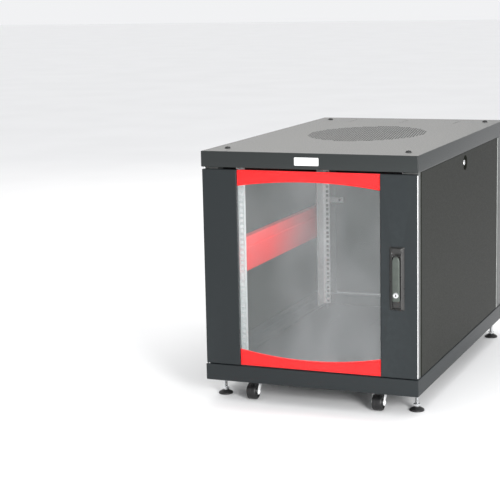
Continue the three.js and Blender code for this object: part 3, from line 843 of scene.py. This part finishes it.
def front_door_frame():
    stiles = merged(stile(-1), stile(1))
    replaced = ["front_door_frame"]
    piece("front_door_stiles", stiles, SLATE, "front_door", replaced, sheet=(SHEET, -1))
    front = DOOR_LOW.y + CROSS_MEMBER["setback"]
    reach = GLASS_HIGH.x + CROSS_MEMBER["lap"]
    height = CROSS_MEMBER["height"]
    for name, z0 in (("bottom", DOOR_BOTTOM), ("top", DOOR_TOP - height)):
        bm = block((-reach, front, z0), (reach, front + SHEET, z0 + height))
        piece(f"front_door_cross_{name}", bm, SLATE, "front_door", edge=0.5)


def glass_pane():
    def place(u, v, level):
        return u, GLASS_LOW.y + level, v

    outline = rounded_rectangle(GLASS_LOW.x, GLASS_HIGH.x, GLASS_LOW.z, GLASS_HIGH.z, 1.5, 4)
    bm = solid_prism(outline, place, 0, GLASS_HIGH.y - GLASS_LOW.y)
    piece("front_door_glass_pane", bm, GLASS, "front_door", ["front_door_glass"], edge=0.6)


def band(name, edge_z, end_z, middle_z):
    """A red band on the glass's back, with one edge a long arc."""
    low, high = span(name)
    half = high.x
    rise = abs(middle_z - end_z)
    radius = (half ** 2 + rise ** 2) / (2 * rise)
    sign = math.copysign(1, middle_z - end_z)
    steps = 72
    curve = []
    for i in range(steps + 1):
        x = half * (1 - 2 * i / steps)
        curve.append((x, middle_z - sign * (radius - math.sqrt(radius ** 2 - x ** 2))))

    def place(u, v, level):
        return u, low.y + level, v

    bm = solid_prism([(-half, edge_z), (half, edge_z), *curve], place, 0, high.y - low.y)
    piece(f"{name}_finished", bm, RED, "front_door", [name], edge=0.25)


def door_highlight_strip():
    """A bright zinc strip along the door's closing edge, a painted highlight for the light line down the
    door's corner.
    """
    x, strip = DOOR_HIGH.x, DOOR_HIGHLIGHT_STRIP
    low = (x - strip["sunk"], DOOR_LOW.y + strip["front"], DOOR_BOTTOM + strip["end"])
    high = (x + strip["proud"], DOOR_HIGH.y - strip["back"], DOOR_TOP - strip["end"])
    piece("front_door_highlight_strip", block(low, high), ZINC, "front_door", edge=0.2)


def rear_highlight_strip(side_name, side):
    """A pale strip in the seam behind a side panel, a painted highlight for the light line on the rear
    post's edge.
    """
    panel_low, panel_high = span(f"side_panel_{side_name}")
    strip = REAR_HIGHLIGHT_STRIP
    x0, x1 = sorted((side * (HALF_WIDTH - strip["sunk"]), side * (HALF_WIDTH + strip["proud"])))
    low = (x0, panel_high.y + strip["front"], panel_low.z + strip["end"])
    high = (x1, panel_high.y + strip["back"], panel_high.z - strip["end"])
    piece(f"rear_edge_strip_{side_name}", block(low, high), PALE_HIGHLIGHT, "cabinet", edge=0.3)


# Rear door

REAR_VENT = {
    "tops": (140, 285),
    "rows": (14, 16, 16, 14),
    "pitch": 7.0,
    "row_pitch": 31,
    "half_x": 1.6,
    "half_z": 12.2,
}


def rear_vents(top_z):
    """Two groups of upright slots, each of four rows."""
    vent = REAR_VENT
    holes = []
    for top in vent["tops"]:
        for row, count in enumerate(vent["rows"]):
            z = top_z - top - row * vent["row_pitch"] - vent["half_z"]
            for i in range(count):
                x = (i - (count - 1) / 2) * vent["pitch"]
                holes.append([(slot_outline(x, z, vent["half_x"], vent["half_z"], 2), 0)])
    return holes


def rear_door():
    low, high = span("rear_door_panel")

    def place(u, v, level):
        return u, high.y - level, v

    vent = REAR_VENT
    reach_x = max(vent["rows"]) * vent["pitch"] / 2 + ISLAND_MARGIN
    bottom = vent["tops"][-1] + len(vent["rows"]) * vent["row_pitch"] + ISLAND_MARGIN
    island = (-reach_x, reach_x, high.z - bottom, high.z - vent["tops"][0] + ISLAND_MARGIN)
    holes = [*rear_vents(high.z), hub_hole("rear")]
    bounds = (low.x, high.x, low.z, high.z)
    bm = tray(bounds, high.y - low.y, place, holes, fold=DOOR_FOLD, island=island)
    face_along(bm, Vector((0, 1, 0)))
    name, replaced = "rear_door_panel_finished", ["rear_door_panel"]
    piece(name, bm, SLATE, "rear_door", replaced, sheet=(SHEET, -1))


# Swing handles

# Heights are from the door's face, and z is from the turning axis at HANDLE's z.
HANDLE = {
    "x": 243.5,
    "z": 417,
    "half": 20,
    "top": 34,
    "bottom": -132,
    "height": 6,
    "bevel": 8.6,
    "crown": 1.25,
    "end_bevel": 3.5,
    "lift": 0.3,
}
TROUGH = {
    "top": 2.0,
    "wall": (10.8, 12.0),
    "foot": (4.0, 6.5),
    "floor": 2.5,
    "recess": (106, 112),
    "recess_depth": 1.6,
}
SCOOP = {"foot": 6.0, "half": 8.0, "flare": 0.42, "depth": 4.2, "fade": (8.0, 27.0)}
LEVER = {"top": 11.5, "bottom": -107.5, "back": 6.3, "front": 12.5, "half": 10.0, "round": 17}
LEVER_SQUARENESS = 0.55
KEY_Z = -90.5


def smooth_step(value, low, high):
    share = min(max((value - low) / (high - low), 0.0), 1.0)
    return share * share * (3 - 2 * share)


def housing_height(x, z):
    """Height of the handle's block above the door's face: sloping flanks, a trough for the lever with
    a finger recess at its foot, and a scooped face above the lever's rounded end."""
    shape, trough, scoop = HANDLE, TROUGH, SCOOP
    flank = (shape["half"] - abs(x)) / shape["bevel"]
    end = min(shape["top"] - z, z - shape["bottom"]) / shape["end_bevel"]
    rise = 1 - (1 - min(flank, 1.0)) ** shape["crown"]
    full = shape["height"] * rise * smooth_step(end, 0.0, 1.0)
    reach = math.hypot(x, z - trough["top"]) if z > trough["top"] else abs(x)
    in_trough = 1 - smooth_step(reach, *trough["wall"])
    in_trough *= smooth_step(z - shape["bottom"], *trough["foot"])
    in_recess = smooth_step(-z, *trough["recess"]) * (1 - smooth_step(abs(x), *trough["wall"]))
    floor_height = trough["floor"] - trough["recess_depth"] * in_recess
    height = full * (1 - in_trough) + min(full, floor_height) * in_trough
    scoop_half = scoop["half"] + scoop["flare"] * max(z - scoop["foot"], 0.0)
    in_scoop = 1 - smooth_step(abs(x), scoop_half - 1.0, scoop_half + 0.6)
    in_scoop *= smooth_step(z, scoop["foot"], scoop["foot"] + 4.0)
    depth = scoop["depth"] * (1 - smooth_step(z, *scoop["fade"]))
    return max(height - depth * in_scoop * (1 - in_trough), 0.0)


def handle_place(end):
    sign = -end
    face = HALF_DEPTH

    def place(x, height, z):
        return sign * (HANDLE["x"] + x), end * (face + height), HANDLE["z"] + z

    return place


def handle_housing(end_name, end):
    place = handle_place(end)
    shape = HANDLE
    columns = 64
    rows = 200
    bm = bmesh.new()
    grid = []
    for i in range(columns + 1):
        x = shape["half"] * (2 * i / columns - 1)
        line = []
        for j in range(rows + 1):
            z = shape["bottom"] + (shape["top"] - shape["bottom"]) * j / rows
            line.append(bm.verts.new(place(x, housing_height(x, z) + shape["lift"], z)))
        grid.append(line)
    skin(bm, grid, closed=False)
    rim = [line[0] for line in grid] + grid[-1][1:]
    rim += [line[-1] for line in grid[::-1]][1:] + grid[0][1:-1][::-1]
    back = closed_loop(bm, [(v.co.x, end * (HALF_DEPTH + 0.02), v.co.z) for v in rim])
    skin(bm, [rim, back])
    fill(bm, [back])
    outward(bm)
    node = f"{end_name}_handle_housing"
    piece(f"{node}_finished", bm, HANDLE_BLACK, f"{end_name}_door", [node], smooth=50)


def quarter_round(share):
    """Rises from 0 to 1 along a quarter of a circle."""
    return math.sqrt(max(1 - (1 - share) ** 2, 0.0))


def squared_off(value):
    return math.copysign(abs(value) ** LEVER_SQUARENESS, value)


def lever_section(z):
    """Half width and front height of the grip at z."""
    from_top, from_bottom = LEVER["top"] - z, z - LEVER["bottom"]
    half = LEVER["half"]
    if from_top <= LEVER["round"]:
        half *= quarter_round(from_top / LEVER["round"]) ** 1.1
    if from_bottom < 4:
        half *= 0.72 + 0.28 * quarter_round(from_bottom / 4)
    front = LEVER["front"] - 2.6 * (1 - quarter_round(min(from_top / 7, 1.0)))
    front -= 1.6 * (1 - quarter_round(min(from_bottom / 5, 1.0)))
    return max(half, 0.4), front


def lever_grip(place):
    """Squared-off rings along the grip, closer together at its ends."""
    top, bottom, back = LEVER["top"], LEVER["bottom"], LEVER["back"]
    steps, around = 72, 36
    bm = bmesh.new()
    rings = []
    for i in range(steps + 1):
        share = i / steps
        z = top + (bottom - top) * (1 - math.cos(math.pi * share)) / 2
        half, front = lever_section(z)
        middle, reach = (back + front) / 2, (front - back) / 2
        ring = []
        for k in range(around):
            turn = 2 * math.pi * k / around
            height = middle + reach * squared_off(math.sin(turn))
            ring.append(bm.verts.new(place(half * squared_off(math.cos(turn)), height, z)))
        rings.append(ring)
    skin(bm, rings)
    bm.faces.new(rings[0])
    bm.faces.new(rings[-1])
    outward(bm)
    return bm


def handle_lever(end_name, end):
    """A crowned grip: rounded at its top, slimmer at its foot, with a boss round the lock."""
    place = handle_place(end)

    def boss_place(x, z, height):
        return place(x, height, z + KEY_Z)

    profile = [(7.6, 11.0), (9.3, 11.6), (9.3, 12.2), (8.8, 12.75), (8.1, 12.9), (7.6, 12.6)]
    boss = turned(profile, boss_place, 40, closed=True)
    node = f"{end_name}_handle_lever"
    grip = merged(lever_grip(place), boss)
    piece(f"{node}_finished", grip, GRIP, f"{end_name}_lever", [node], smooth=45)


def lock_barrel(end_name, end):
    place = handle_place(end)

    def barrel_place(x, z, height):
        return place(x, height, z + KEY_Z)

    profile = [(0, 10.6), (1.5, 10.6), (1.7, 13.6), (2.4, 13.9), (5.6, 14.0), (6.9, 13.6)]
    profile += [(7.5, 12.8), (7.5, 6.8), (0, 6.8)]
    barrel = turned(profile, barrel_place, 40)
    node = f"{end_name}_lock_barrel"
    piece(f"{node}_finished", barrel, CHROME, f"{end_name}_lock", [node])
    # A thin dark plate on the barrel's face stands for the keyway's slot: painted shade in place of a
    # hole.
    key = solid_prism(rounded_rectangle(-0.9, 0.9, -3.4, 3.4, 0.6, 3), barrel_place, 13.55, 14.0)
    piece(f"{end_name}_keyway_shade", key, DARK_BOLT, f"{end_name}_lock", edge=0.1)


def handles():
    for end_name, end in ENDS:
        handle_housing(end_name, end)
        handle_lever(end_name, end)
        lock_barrel(end_name, end)
        refined(f"{end_name}_handle_hub", DARK_BOLT, f"{end_name}_handle", edge=0.3)
        refined(f"{end_name}_latch_tongue", ZINC, f"{end_name}_handle", edge=0.5)


def hinge_pins():
    for end_name, end in ENDS:
        for where in ("top", "bottom"):
            node = f"{end_name}_hinge_pin_{where}"
            low, high = span(node)
            centre = (low + high) / 2

            def place(x, y, height, centre=centre):
                return centre.x + x, centre.y + y, height

            radius = 2.5
            profile = [(0, low.z), (radius - 0.7, low.z), (radius, low.z + 0.7)]
            profile += [(radius, high.z - 0.7), (radius - 0.7, high.z), (0, high.z)]
            bm = turned(profile, place, 28)
            piece(f"{node}_finished", bm, CHROME, "cabinet", [node])


# Castors and feet

CASTOR = {"plate_half": 25, "plate": 2.5, "bolt": 18.5, "fork": 2.0, "fork_half": 12.5, "eye": 8.5}


def castor(name):
    plate_node, fork_node, wheel_node = (f"castor_{part}_{name}" for part in ("plate", "fork", "wheel"))
    plate_low, plate_high = span(plate_node)
    wheel_low, wheel_high = span(wheel_node)
    fork_low, fork_high = span(fork_node)
    axis = (plate_low + plate_high) / 2
    hub = (wheel_low + wheel_high) / 2
    size = wheel_high - wheel_low
    castor_plate(plate_node, axis, plate_low.z, plate_high.z)
    castor_fork(name, fork_node, axis, hub, fork_high.z, size.x)
    castor_wheel(name, wheel_node, hub, size.x / 2, size.z / 2)


def castor_plate(node, axis, bottom, top):
    """A square plate with the swivel's race and four bolt heads under it."""
    def from_axis(x, y):
        def place(u, v, level):
            return axis.x + x + u, axis.y + y + v, level

        return place

    half, bolt = CASTOR["plate_half"], CASTOR["bolt"]
    under = top - CASTOR["plate"]
    outline = rounded_rectangle(-half, half, -half, half, 5, 5)
    parts = [solid_prism(outline, from_axis(0, 0), under, top)]
    race = [(0, under), (14.5, under), (14.5, under - 1.2), (13, under - 3.2), (11.0, bottom), (0, bottom)]
    parts.append(turned(race, from_axis(0, 0), 40))
    head = [(0, under - 3.0), (3.0, under - 3.0), (4.0, under - 2.2), (4.2, under), (0, under)]
    for x in (-bolt, bolt):
        for y in (-bolt, bolt):
            parts.append(turned(head, from_axis(x, y), 20))
    piece(f"{node}_finished", merged(*parts), ZINC, "cabinet", [node], edge=0.3)


def castor_fork(name, node, axis, hub, top, width):
    """A pressed fork: a crown with two raked legs, an axle bolt and its nut."""
    inner = width / 2 + 0.4
    thickness, half, eye = CASTOR["fork"], CASTOR["fork_half"], CASTOR["eye"]

    def leg_place(side):
        def place(u, v, level):
            return axis.x + side * (inner + level), u, v

        return place

    def at_axis(u, v, level):
        return axis.x + u, axis.y + v, level

    def along_axle(side):
        def place(x, y, level):
            return axis.x + side * level, hub.y + x, hub.z + y

        return place

    leg = []
    for angle in range(0, 181, 15):
        turn = math.radians(180 + angle)
        leg.append((hub.y + eye * math.cos(turn), hub.z + eye * math.sin(turn)))
    leg += [(hub.y + 10, hub.z + 6), (axis.y + half, top - 6), (axis.y + half, top - 0.4)]
    leg += [(axis.y - half, top - 0.4), (axis.y - 14.0, top - 4)]
    parts = [solid_prism(leg, leg_place(side), 0, thickness) for _, side in SIDES]
    reach = inner + thickness - 0.2
    crown = rounded_rectangle(-reach, reach, -half, half, 3, 4)
    parts.append(solid_prism(crown, at_axis, top - thickness, top - 0.1))
    head = [(0, inner + 4.8), (4.2, inner + 4.6), (5.2, inner + 3.8), (5.2, inner + 2), (0, inner + 2)]
    parts.append(turned(head, along_axle(-1), 6))
    parts.append(turned(head, along_axle(1), 6))
    axle = [(0, -inner - 1), (2.9, -inner - 1), (2.9, inner + 1), (0, inner + 1)]
    parts.append(turned(axle, along_axle(1), 20))
    piece(f"{node}_finished", merged(*parts), ZINC, f"castor_{name}", [node], edge=0.35)


def castor_wheel(name, node, hub, half, radius):
    """A moulded wheel: soft shoulders, a shallow groove round its tread and a dished web."""
    outer = half - 0.8

    def place(x, y, level):
        return hub.x + level, hub.y + x, hub.z + y

    profile = [(3.4, -half), (7.6, -half), (8.2, -outer + 1.2), (9.4, -outer + 3.2), (14.5, -outer + 3.2)]
    profile += [(15.8, -outer + 1.0), (17.2, -outer)]
    for angle in arc(5):
        profile.append((radius - 4.6 + 4.6 * math.sin(angle), -outer + 4.6 * (1 - math.cos(angle))))
    profile += [(radius, -1.4), (radius - 0.7, -0.7)]
    mirrored = [(r, -level) for r, level in reversed(profile)]
    bm = turned(profile + mirrored, place, 48, closed=True)
    piece(f"{node}_finished", bm, WHEEL_BLACK, f"wheel_{name}", [node], smooth=40)


def thread(place, radius, pitch, low, high, steps=20):
    """A raised helical ridge with a triangular section."""
    bm = bmesh.new()
    turns = (high - low) / pitch
    rings = []
    for i in range(int(turns * steps) + 1):
        angle = 2 * math.pi * i / steps
        level = low + pitch * i / steps
        ring = []
        for r, rise in ((radius - 0.75, 0.05), (radius, pitch / 2), (radius - 0.75, pitch - 0.05)):
            ring.append(bm.verts.new(place(r * math.cos(angle), r * math.sin(angle), level + rise)))
        rings.append(ring)
    skin(bm, rings)
    bm.faces.new(rings[0])
    bm.faces.new(rings[-1])
    outward(bm)
    return bm


STEM = {"core": 4.3, "thread": 5.0, "pitch": 1.5}


def foot(name):
    stem_node, pad_node = f"foot_stem_{name}", f"foot_pad_{name}"
    low, high = span(stem_node)
    pad_low, pad_high = span(pad_node)
    centre = (low + high) / 2
    body = f"foot_{name}"

    def place(x, y, level):
        return centre.x + x, centre.y + y, level

    bottom, top, core = low.z, high.z, STEM["core"]
    rod = [(0, bottom + 8), (core, bottom + 8), (core, top - 1), (core - 0.8, top), (0, top)]
    ball = [(0, bottom), (7, bottom), (7, bottom + 1.2), (5.6, bottom + 1.9), (0, bottom + 1.9)]
    hexagon = [(0, bottom + 1.9), (8.6, bottom + 1.9), (10, bottom + 3.0), (10, bottom + 7.2)]
    hexagon += [(8.6, bottom + 8.2), (0, bottom + 8.2)]
    parts = [turned(rod, place, 28), turned(ball, place, 32), turned(hexagon, place, 6)]
    parts.append(thread(place, STEM["thread"], STEM["pitch"], bottom + 9, top - 2.6))
    piece(f"{stem_node}_finished", merged(*parts), CHROME, body, [stem_node], edge=0.25)

    radius = pad_high.x - (pad_low.x + pad_high.x) / 2
    profile = [(0, 0.8), (radius - 4.5, 0.8), (radius - 3.5, 0.0), (radius - 0.8, 0.0), (radius, 0.9)]
    profile += [(radius, 3.2), (radius - 0.7, 4.4), (radius - 3.2, 6.2), (radius - 7.0, 8.2)]
    profile += [(radius - 9.5, 9.2), (radius - 10.4, 10.4), (radius - 11.4, pad_high.z), (0, pad_high.z)]
    pad = turned(profile, place, 56)
    piece(f"{pad_node}_finished", pad, RUBBER, body, [pad_node], smooth=40)


def running_gear():
    for end_name, _ in ENDS:
        for side_name, _ in SIDES:
            castor(f"{end_name}_{side_name}")
            foot(f"{end_name}_{side_name}")


def floor():
    bm = bmesh.new()
    bmesh.ops.create_grid(bm, x_segments=2, y_segments=2, size=40)
    mesh = bpy.data.meshes.new("floor")
    bm.to_mesh(mesh)
    bm.free()
    obj = bpy.data.objects.new("floor", mesh)
    bpy.context.scene.collection.objects.link(obj)
    obj.data.materials.append(FLOOR)


make_camera()
make_lights()
make_world()
floor()
base()
roof()
roof_bolts()
label()
inner_frame()
for side_name, side in SIDES:
    side_panel(side_name, side)
    side_lock(side_name, side)
    rear_highlight_strip(side_name, side)
front_door_frame()
glass_pane()
band("front_door_band_top", DOOR_TOP - 0.3, *BAND_TOP)
band("front_door_band_bottom", DOOR_BOTTOM + 0.3, *BAND_BOTTOM)
door_highlight_strip()
rear_door()
handles()
hinge_pins()
running_gear()
